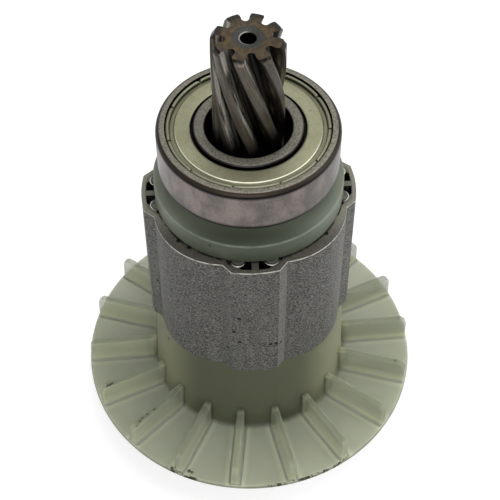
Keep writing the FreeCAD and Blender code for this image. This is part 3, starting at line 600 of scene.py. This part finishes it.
def layCopies(tree, wires, turn, place=(0, 0, 0)):  # copies of a piece, each at its place and turn
    points = tree.add("GeometryNodePoints", values={"Count": wires["Count"], "Position": place})
    spin = tree.add("ShaderNodeCombineXYZ", values={"Z": turn})
    copies = tree.add("GeometryNodeInstanceOnPoints", values={
        "Points": points, "Instance": wires["Geometry"], "Rotation": spin})
    return closeGrowth(tree, copies, wires["Finish"])


def makeRingTree():  # copies of a piece, spread evenly round Z
    tree, wires = newGrowth("copiesRound", {"Count": "Int", "First Angle": "Float", "Finish": "Material"})
    index = tree.add("GeometryNodeInputIndex")
    return layCopies(tree, wires, index * (2 * math.pi) / wires["Count"] + wires["First Angle"])


def makeStackTree():  # sheets laid on each other, each turned a little by chance
    tree, wires = newGrowth("sheetStack", {"Count": "Int", "Pitch": "Float", "Bottom": "Float",
                                           "Slip Angle": "Float", "Seed": "Int", "Finish": "Material"})
    index = tree.add("GeometryNodeInputIndex")
    height = tree.add("ShaderNodeCombineXYZ", values={"Z": index * wires["Pitch"] + wires["Bottom"]})
    chance = tree.add("FunctionNodeRandomValue", {"data_type": "FLOAT"}, {
        "Min": -1.0, "Max": 1.0, "Seed": wires["Seed"]}, output=1)
    return layCopies(tree, wires, chance * wires["Slip Angle"], height)


def makeHelixTree():  # a straight toothed bar gets its twist, its tip chamfer and the run-out of its roots
    tree, wires = newGrowth("helicalTeeth", {
        "Top": "Float", "Lead": "Float", "Tip Radius": "Float", "Chamfer Height": "Float",
        "Chamfer Depth": "Float", "Root Radius": "Float", "Cutter Radius": "Float", "Root End": "Float",
        "Finish": "Material"})
    spot = tree.add("GeometryNodeInputPosition")
    x, y, z = tree.parts(spot)
    radius = (x * x + y * y).root().high(1e-7)
    fall = (z - wires["Top"] + wires["Chamfer Height"]) / wires["Chamfer Height"]
    highest = wires["Tip Radius"] - fall.limited() * wires["Chamfer Depth"]
    below = (wires["Root End"] - z).high(0.0).low(wires["Cutter Radius"])
    rise = wires["Cutter Radius"] - (wires["Cutter Radius"] ** 2.0 - below ** 2.0).high(0.0).root()
    lowest = (wires["Root Radius"] + rise) * (z < wires["Root End"])
    scale = radius.high(lowest).low(highest) / radius
    held = tree.add("ShaderNodeCombineXYZ", values={"X": x * scale, "Y": y * scale, "Z": z})
    angle = (wires["Top"] - z) * (2 * math.pi) / wires["Lead"]
    twisted = tree.add("ShaderNodeVectorRotate", {"rotation_type": "Z_AXIS"},
                       {"Vector": held, "Angle": angle})
    moved = tree.add("GeometryNodeSetPosition", values={"Geometry": wires["Geometry"], "Position": twisted})
    return closeGrowth(tree, moved, wires["Finish"])


def newCopies(name, rings, count, firstAngle, finish, body):  # one piece of copies, evenly round Z
    copies = grow(name, ringMesh(name + "Part", rings), ringTree, {
        "Count": count, "First Angle": math.radians(firstAngle), "Finish": finish})
    newPiece(name, copies, finish, body)


ringTree, stackTree, helixTree = makeRingTree(), makeStackTree(), makeHelixTree()
print("geometry trees made")


# ---- camera, floor and light

def makeView():
    view = {"lens": 93.746, "place": (0.197, -154.116, 237.379), "tilt": 38.185, "roll": -0.126}
    camera = newObject("photoCamera", bpy.data.cameras.new("photoCamera"))
    camera.data.lens = view["lens"]
    camera.data.sensor_width = 36.0
    camera.data.clip_start = 0.01
    tilt = Matrix.Rotation(math.radians(view["tilt"]), 4, "X")
    roll = Matrix.Rotation(math.radians(view["roll"]), 4, "Z")
    camera.matrix_world = Matrix.Translation(Vector(view["place"]) * mm) @ (tilt @ roll)
    scene.camera = camera


def makeFloor():
    wide = 3
    mesh = bpy.data.meshes.new("floor")
    corners = [(-wide, -wide, 0), (wide, -wide, 0), (wide, wide, 0), (-wide, wide, 0)]
    mesh.from_pydata(corners, [], [(0, 1, 2, 3)])
    floor = newObject("floor", mesh)
    look = Finish("floorPaper", Roughness=0.9, Base_Color=(0.4, 0.4, 0.4, 1.0), Specular_IOR_Level=0.0)
    seen = look.add("ShaderNodeLightPath", output="Is Camera Ray")
    mirrored = look.add("ShaderNodeLightPath", output="Is Glossy Ray")
    glow = look.add("ShaderNodeEmission", values={"Strength": (seen + mirrored).limited() * 0.7})
    both = look.add("ShaderNodeAddShader", values={0: Wire(look.tree, look.shader.outputs[0]), 1: glow})
    look.tree.links.new(both.socket, look.tree.nodes["Material Output"].inputs["Surface"])
    floor.data.materials.append(look.material)


def makeLight():
    light = {"sky": 0.42, "key": 2.3, "keyPlace": (0.10, 0.10, 0.72), "keySize": 0.5,
             "front": 2.2, "frontPlace": (-0.04, -0.52, 0.40), "frontSize": 0.5,
             "side": 1.2, "sidePlace": (0.50, -0.02, 0.30), "sideSize": 0.4, "aim": (0, 0, 0.05)}
    world = bpy.data.worlds.new("studio")
    scene.world = world
    world.use_nodes = True
    tree = Tree(world.node_tree)
    rays = [tree.add("ShaderNodeLightPath", output=ray)
            for ray in ("Is Camera Ray", "Is Glossy Ray", "Is Transmission Ray")]
    shown = (rays[0] + rays[1] + rays[2]).limited()
    sky = tree.add("ShaderNodeBackground", values={"Color": (0.96, 0.98, 1.0, 1.0), "Strength": light["sky"]})
    white = tree.add("ShaderNodeBackground", values={"Color": (1.0, 1.0, 1.0, 1.0), "Strength": 1.0})
    mix = tree.add("ShaderNodeMixShader", values={0: shown, 1: sky, 2: white})
    tree.tree.links.new(mix.socket, tree.tree.nodes["World Output"].inputs["Surface"])
    for name in ("key", "front", "side"):
        lamp = newObject(name + "Lamp", bpy.data.lights.new(name + "Lamp", "AREA"))
        lamp.data.energy = light[name]
        lamp.data.size = light[name + "Size"]
        lamp.location = light[name + "Place"]
        lamp.rotation_euler = (Vector(light["aim"]) - lamp.location).to_track_quat("-Z", "Y").to_euler()


makeView()
makeFloor()
makeLight()
scene.view_settings.view_transform = "Standard"
print("camera, floor and light set")


# ---- fan: hub and disc, blades and ribs

def makeFan():
    fan = {"rim": 33.35, "bottom": 8.1, "top": 9.0, "hubTop": 29.0, "hubTopRadius": 18.4,
           "hubFootRadius": 19.3, "wall": 1.7, "boss": 9.5, "bossFoot": 8.6, "bore": 6.0, "web": 26.5,
           "blades": 18, "firstBlade": 265.0, "bladeTop": 14.8, "bladeHeight": 5.8, "bladeHalf": 0.76,
           "bladeTaper": 0.06, "bladeRoot": 17.9, "bladeFoot": 33.05, "bladeLean": 0.15, "corner": 1.6,
           "flare": 0.5, "crown": 0.3, "edge": 0.4,
           "ribs": 6, "ribHalf": 0.75, "ribFoot": 12.0, "ribRoot": 8.6, "ribInset": 0.9, "ribSlope": 0.045}
    hub = turnedMesh("fanHub", [
        (fan["bore"], fan["bossFoot"], 0.2), (fan["boss"], fan["bossFoot"], 0.3),
        (fan["boss"], fan["web"], 0.6), (fan["hubTopRadius"] - fan["wall"], fan["web"], 0.6),
        (fan["hubFootRadius"] - fan["wall"], fan["bottom"], 0.4),
        (fan["rim"], fan["bottom"], 0.25), (fan["rim"], fan["top"], 0.5),
        (fan["hubFootRadius"], fan["top"], 0.8), (fan["hubTopRadius"], fan["hubTop"], 0.15),
        (fan["bore"], fan["hubTop"], 0.2)])
    newPiece("fanHub", hub, finishes["fan"], "rotor", ["fan"])

    def drawnBack(size, far):  # how far a rounding has drawn back at a place
        return size - math.sqrt(max(size ** 2 - far ** 2, 0))

    rings = []
    for rise in (-0.4, 0, 0.1, 0.24, 0.5, 1.4, 2.6, 3.6, 4.2, 4.6, 5.0, 5.3, 5.5, 5.62, 5.72, 5.78, 5.8):
        z = fan["top"] + rise
        share = rise / fan["bladeHeight"]
        foot = max(0.0, min(fan["flare"], z - fan["top"]))
        flare = drawnBack(fan["flare"], fan["flare"] - foot)
        pinch = drawnBack(fan["crown"], max(0.0, rise - (fan["bladeHeight"] - fan["crown"])))
        half = fan["bladeHalf"] - fan["bladeTaper"] * share + flare - pinch
        lift = max(0.0, z - (fan["bladeTop"] - fan["corner"]))
        reach = fan["bladeFoot"] - fan["bladeLean"] * share - drawnBack(fan["corner"], lift)
        edge = min(fan["edge"], half * 0.9)
        outline = roundCorners([(fan["bladeRoot"], -half, 0), (reach, -half, edge), (reach, half, edge),
                                (fan["bladeRoot"], half, 0)], 4)
        rings.append([(p.x, p.y, z) for p in outline])
    newCopies("fanBlades", rings, fan["blades"], fan["firstBlade"], finishes["fan"], "rotor")

    rings = []
    for z, extra in ((fan["ribFoot"], -0.25), (fan["ribFoot"] + 0.25, 0), (fan["web"] - 0.4, 0),
                     (fan["web"] + 0.3, 0.4)):
        outer = fan["hubFootRadius"] - fan["ribInset"] - (z - fan["bottom"]) * fan["ribSlope"]
        half = fan["ribHalf"] + extra
        rings.append([(fan["ribRoot"], -half, z), (outer, -half, z), (outer, half, z),
                      (fan["ribRoot"], half, z)])
    newCopies("fanRibs", rings, fan["ribs"], fan["firstBlade"], finishes["fan"], "rotor")


makeFan()
print("fan made")


# ---- core: a stack of punched sheets

def makeCore():
    core = {"bottom": 29.0, "length": 30.5, "sheets": 61, "turn": 3.5, "lobe": 19.4, "lobeHalf": 12.5,
            "footRadius": 18.05, "footHalf": 18.2, "poleRadius": 12.75, "poleShift": 6.3, "bore": 8.0,
            "slotInner": 11.6, "slotOuter": 14.7, "wall": 18.55, "bridge": 0.6, "relief": 0.45,
            "reliefAt": 8.35, "slip": 0.05, "edge": 0.03, "seed": 4}
    curve = bpy.data.curves.new("coreSheet", "CURVE")
    curve.dimensions = "2D"
    curve.fill_mode = "BOTH"
    sheet = core["length"] / core["sheets"]
    curve.extrude = (sheet / 2 - core["edge"] - 0.002) * mm
    curve.bevel_depth = core["edge"] * mm
    curve.bevel_resolution = 0
    curve.offset = -core["edge"] * mm

    def swung(x, y, angle):  # a point turned round the axis
        return (x * math.cos(angle) - y * math.sin(angle), x * math.sin(angle) + y * math.cos(angle))

    def addLoop(points):
        spline = curve.splines.new("POLY")
        spline.points.add(len(points) - 1)
        for place, (x, y) in zip(spline.points, points):
            place.co = (x * mm, y * mm, 0, 1)
        spline.use_cyclic_u = True

    edge = []
    for pole in range(4):
        lobeAt = core["turn"] + 90 * pole
        edge += [polar(core["lobe"], lobeAt + core["lobeHalf"] * step / 5)[:2] for step in range(-5, 6)]
        poleAt = math.radians(lobeAt + 45)
        reach = math.radians(45 - core["footHalf"])
        swing = math.asin(core["footRadius"] * math.sin(reach) / core["poleRadius"])
        for step in range(-9, 10):
            x = core["poleShift"] + core["poleRadius"] * math.cos(swing * step / 9)
            y = core["poleRadius"] * math.sin(swing * step / 9)
            edge.append(swung(x, y, poleAt))
    addLoop(edge)
    addLoop([polar(core["bore"], 360 * step / 48)[:2] for step in range(48)])
    for pole in range(4):
        poleAt = math.radians(core["turn"] + 45 + 90 * pole)
        tilt = core["bridge"] * math.sqrt(2)
        deep = math.sqrt(core["wall"] ** 2 - core["bridge"] ** 2)
        deepAngle = math.degrees(math.atan2(deep - core["bridge"], deep + core["bridge"]))
        endAngle = math.degrees(math.acos(core["slotOuter"] / core["wall"]))
        side = [(core["slotInner"], core["slotInner"] - tilt)]
        side += [polar(core["wall"], deepAngle + (endAngle - deepAngle) * step / 4)[:2] for step in range(5)]
        side += [(core["slotOuter"] + core["relief"] * math.sin(math.radians(a)),
                  core["reliefAt"] + core["relief"] * math.cos(math.radians(a))) for a in range(0, 181, 30)]
        slot = [(x, -y) for x, y in reversed(side)] + side
        slot = slot[len(side):] + slot[:len(side)]
        addLoop([swung(x, y, poleAt) for x, y in slot])
    stack = grow("coreStack", plainMesh(newObject("coreSheet", curve)), stackTree, {
        "Count": core["sheets"], "Pitch": sheet * mm, "Bottom": (core["bottom"] + sheet / 2) * mm,
        "Slip Angle": math.radians(core["slip"]), "Seed": core["seed"], "Finish": finishes["core"]})
    newPiece("coreStack", stack, finishes["core"], "rotor", ["rotor_core"])


makeCore()
print("core made")


# ---- front end plate

def makeEndPlate():
    plate = {"radius": 17.0, "bottom": 59.5, "top": 63.75, "bore": 8.0, "tongueRound": 1.15,
             "tongueAt": 16.45, "tongueSide": 2.9, "tongues": 4, "turn": 3.5,
             "burrGap": 0.16, "burrRise": 0.03, "burrHalf": 0.11, "burrSweep": 72}
    disc = turnedMesh("endPlate", [
        (plate["bore"], plate["bottom"], 0.1), (plate["radius"], plate["bottom"], 0.45),
        (plate["radius"], plate["top"], 0.25), (plate["bore"], plate["top"], 0.15)])
    newPiece("endPlate", disc, finishes["plate"], "rotor", ["front_end_plate"])
    for name, side in (("plateTonguesLeft", -1), ("plateTonguesRight", 1)):
        rings = []
        for rise, shrink in ((0.0, 0.0), (0.3, 0.0), (0.42, 0.04), (0.5, 0.14)):
            size, z = plate["tongueRound"] - shrink, plate["bottom"] + rise
            rings.append([(plate["tongueAt"] + size * math.cos(math.radians(a)),
                           plate["tongueSide"] * side + size * math.sin(math.radians(a)), z)
                          for a in range(0, 360, 12)])
        newCopies(name, rings, plate["tongues"], plate["turn"], finishes["plate"], "rotor")

        # thin bright arcs round each tongue, a painted highlight
        rings = []
        for step in range(13):
            angle = math.radians(-plate["burrSweep"] + 2 * plate["burrSweep"] * step / 12)
            width = plate["burrHalf"] * math.sin(math.pi * (step + 0.6) / 13.2)
            ring = []
            for corner in range(6):
                turn = 2 * math.pi * corner / 6
                size = plate["tongueRound"] + plate["burrGap"] + width * math.cos(turn)
                ring.append((plate["tongueAt"] + size * math.cos(angle),
                             plate["tongueSide"] * side + size * math.sin(angle),
                             plate["bottom"] + plate["burrRise"] + width * math.sin(turn)))
            rings.append(ring)
        newCopies(name + "Burr", rings, plate["tongues"], plate["turn"], finishes["burr"],
                  "rotor")


makeEndPlate()
print("end plate made")


# ---- shaft and pinion

def makeShaft():
    shaft = turnedMesh("shaftBar", [
        (0.0, 5.675, 0), (1.35, 5.0, 0), (1.35, 2.0, 0.1), (2.85, 0.5, 0.08), (5.0, 0.5, 0.35),
        (5.0, 8.0, 0.1), (6.0, 8.0, 0.15), (6.0, 29.0, 0.1), (8.0, 29.0, 0.3), (8.0, 63.75, 0.1),
        (8.75, 63.75, 0.1), (8.75, 67.0, 0.12), (7.5, 67.0, 0.1), (7.5, 71.0, 0.2), (6.1, 72.3, 0.1),
        (3.0, 72.3, 0), (0.0, 72.3, 0)], around=96, steps=3)
    newPiece("shaftBar", shaft, finishes["shaft"], "rotor", ["shaft"])


def makePinion():
    gear = {"teeth": 8, "pitch": 5.2, "tip": 6.19, "root": 3.75, "pressure": 20.0, "width": 2.3,
            "lead": 107.0, "turn": 28.5, "bottom": 71.2, "top": 96.1, "chamferHeight": 0.9,
            "chamferDepth": 0.62, "cutter": 5.0, "rootEnd": 75.975, "land": 0.16, "dish": 2.65,
            "dishDepth": 0.3, "hole": 1.35, "holeDepth": 4.5, "rows": 72}
    pressure = math.radians(gear["pressure"])
    base = gear["pitch"] * math.cos(pressure)
    halfTooth = gear["width"] / 2 / gear["pitch"] + math.tan(pressure) - pressure

    def flankAngle(radius):
        roll = math.sqrt(max((radius / base) ** 2 - 1, 0))
        return halfTooth - (roll - math.atan(roll))

    half = [(gear["tip"], 0.0), (gear["tip"], flankAngle(gear["tip"]) * 0.5)]
    tipAngle = flankAngle(gear["tip"] - gear["land"])
    for step in range(5):
        swing = math.pi / 2 * step / 4
        half.append((gear["tip"] - gear["land"] * (1 - math.cos(swing)),
                     tipAngle - gear["land"] / gear["tip"] * (1 - math.sin(swing))))
    for step in range(1, 9):
        radius = gear["tip"] - gear["land"] + (base - gear["tip"] + gear["land"]) * step / 8
        half.append((radius, flankAngle(radius)))
    foot = (base + gear["root"]) / 2
    spaceHalf = math.pi / gear["teeth"]
    for step in range(7):
        swing = math.pi / 2 * step / 6
        half.append((foot - (foot - gear["root"]) * math.sin(swing),
                     halfTooth + (spaceHalf - halfTooth) * (1 - math.cos(swing))))
    section = []
    for tooth in range(gear["teeth"]):
        middle = 2 * math.pi * tooth / gear["teeth"] + math.radians(gear["turn"])
        section += [(radius, middle - angle) for radius, angle in reversed(half[1:])]
        section += [(radius, middle + angle) for radius, angle in half[:-1]]
    top, bottom, hole, dish = gear["top"], gear["bottom"], gear["hole"], gear["dish"]
    heights = [bottom + (top - 1.0 - bottom) * row / gear["rows"] for row in range(gear["rows"] + 1)]
    heights += [top - 0.9, top - 0.75, top - 0.4, top - 0.08, top - 0.02]
    rings = [[spun(r, a, z) for r, a in section] for z in heights]
    rings.append([spun(r - 0.03, a, top) for r, a in section])
    for radius, z in ((dish + 0.05, top), (dish, top - 0.02), (hole + 0.08, top - gear["dishDepth"] + 0.01),
                      (hole, top - gear["dishDepth"] - 0.06), (hole, top - 3.0),
                      (hole, top - gear["holeDepth"]), (0.02, top - gear["holeDepth"] - 0.65)):
        rings.append([spun(radius, a, z) for r, a in section])
    bar = ringMesh("pinionBar", rings)
    teeth = grow("pinion", bar, helixTree, {
        "Top": top * mm, "Lead": gear["lead"] * mm, "Tip Radius": gear["tip"] * mm,
        "Chamfer Height": gear["chamferHeight"] * mm, "Chamfer Depth": gear["chamferDepth"] * mm,
        "Root Radius": gear["root"] * mm, "Cutter Radius": gear["cutter"] * mm,
        "Root End": gear["rootEnd"] * mm, "Finish": finishes["pinion"]})
    newPiece("pinion", teeth, finishes["pinion"], "rotor", ["shaft"])


makeShaft()
makePinion()
print("shaft and pinion made")


# ---- ball bearings

def makeBearing(name, size):
    node, body = name + "_bearing", name + "_outer"
    ringFinish, shieldFinish = finishes[name + "Ring"], finishes[name + "Shield"]
    ring = {"ball": 2.381, "track": 2.476, "play": 0.03, "innerDrop": 1.6, "outerDrop": 1.55, "ledge": 1.15}
    low, high, pitch, land, seat = (size[key] for key in ("bottom", "top", "pitch", "land", "seat"))
    innerShoulder, outerShoulder = pitch - ring["innerDrop"], pitch + ring["outerDrop"]
    lowLedge, highLedge, middle = low + ring["ledge"], high - ring["ledge"], (low + high) / 2

    def groove(drop, centre, sign):  # the arc that the balls run in
        track = ring["track"]
        reach = math.sqrt(track ** 2 - (track - ring["ball"] - ring["play"] + drop) ** 2)
        swing = math.asin(reach / track)
        return [(centre + sign * track * math.cos(swing * step / 8),
                 middle + track * math.sin(swing * step / 8), 0) for step in range(-8, 9)]

    innerCentre = pitch - ring["ball"] - ring["play"] + ring["track"]
    inner = turnedMesh(name + "InnerRing", [
        (size["bore"], low, 0.4), (land, low, 0.45), (land, lowLedge, 0.1), (innerShoulder, lowLedge, 0.1)]
        + groove(ring["innerDrop"], innerCentre, -1)
        + [(innerShoulder, highLedge, 0.1), (land, highLedge, 0.1), (land, high, 0.45),
           (size["bore"], high, 0.4)])
    newPiece(name + "InnerRing", inner, ringFinish, "rotor", [node + "_inner_ring"])

    outerCentre = pitch + ring["ball"] + ring["play"] - ring["track"]
    outer = turnedMesh(name + "OuterRing", [
        (seat, low, 0.06), (size["outer"], low, size["corner"]), (size["outer"], high, size["corner"]),
        (seat, high, 0.06), (seat, highLedge, 0.05), (outerShoulder, highLedge, 0.1)]
        + list(reversed(groove(ring["outerDrop"], outerCentre, 1)))
        + [(outerShoulder, lowLedge, 0.1), (seat, lowLedge, 0.05)], steps=7)
    newPiece(name + "OuterRing", outer, ringFinish, body, [node + "_outer_ring"])

    for part, nodePart, face, side in (("UpperShield", "_upper_shield", high, 1),
                                       ("LowerShield", "_lower_shield", low, -1)):
        makeShield(name + part, node + nodePart, body, shieldFinish, face, side,
                   size["shieldBore"], size["shieldSeat"])


def makeShield(name, node, body, finish, face, side, inner, seat):
    sheet = {"thickness": 0.3, "recess": 0.45, "dip": 0.3, "crimps": 11, "firstCrimp": 30.2, "cut": 1.3,
             "sag": 0.18, "sagShare": 0.06}
    level, deep, thin = sheet["recess"], sheet["recess"] + sheet["dip"], sheet["thickness"]
    dipStart, rim = seat - shieldBend, seat - 0.28

    def placed(outline):
        return [(radius, face - depth * side, size) for radius, depth, size in outline]

    plate = turnedMesh(name, placed([
        (inner, level + 0.08, 0.08), (inner + 0.35, level, 0.2), (dipStart, level, 0.12),
        (dipStart + 0.22, deep, 0.12), (rim - 0.35, deep, 0.1), (rim + 0.06, deep + 0.02, 0.05),
        (rim + 0.06, deep + thin, 0.05), (dipStart, deep + thin, 0.12), (dipStart - 0.22, level + thin, 0.12),
        (inner, level + thin + 0.08, 0.06)]), steps=4)
    newPiece(name, plate, finish, body, [node])

    outline = roundCorners(placed([
        (rim - 0.6, deep + 0.04, 0.05), (rim - 0.5, level - 0.2, 0.16), (rim - 0.24, level - 0.37, 0.14),
        (rim + 0.02, level - 0.26, 0.16), (seat, deep - 0.12, 0.05), (seat, deep + 0.2, 0.05),
        (rim - 0.1, deep + 0.1, 0.1), (rim - 0.26, level + 0.02, 0.1), (rim - 0.4, deep + 0.2, 0.05)]), 3)
    span = 360 / sheet["crimps"] - sheet["cut"]
    rings = []
    for step in range(25):
        share = step / 24
        sag = sheet["sag"] * max(0.0, 1 - min(share, 1 - share) / sheet["sagShare"]) ** 2
        angle = sheet["cut"] / 2 + span * share
        rings.append([polar(p.x, angle, p.y - sag * side) for p in outline])
    newCopies(name + "Rim", rings, sheet["crimps"], sheet["firstCrimp"], finish, body)


makeBearing("front", frontBearing)
makeBearing("rear", rearBearing)
print("bearings made")


# ---- CAD nodes that stay get their finishes

for name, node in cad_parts.items():
    for mark, finish in (("magnet_", "magnet"), ("_ball_", "ball"), ("_cage", "cage")):
        if mark in name:
            node.data.materials.clear()
            node.data.materials.append(finishes[finish])
            break
print("magnets, balls and cages finished")
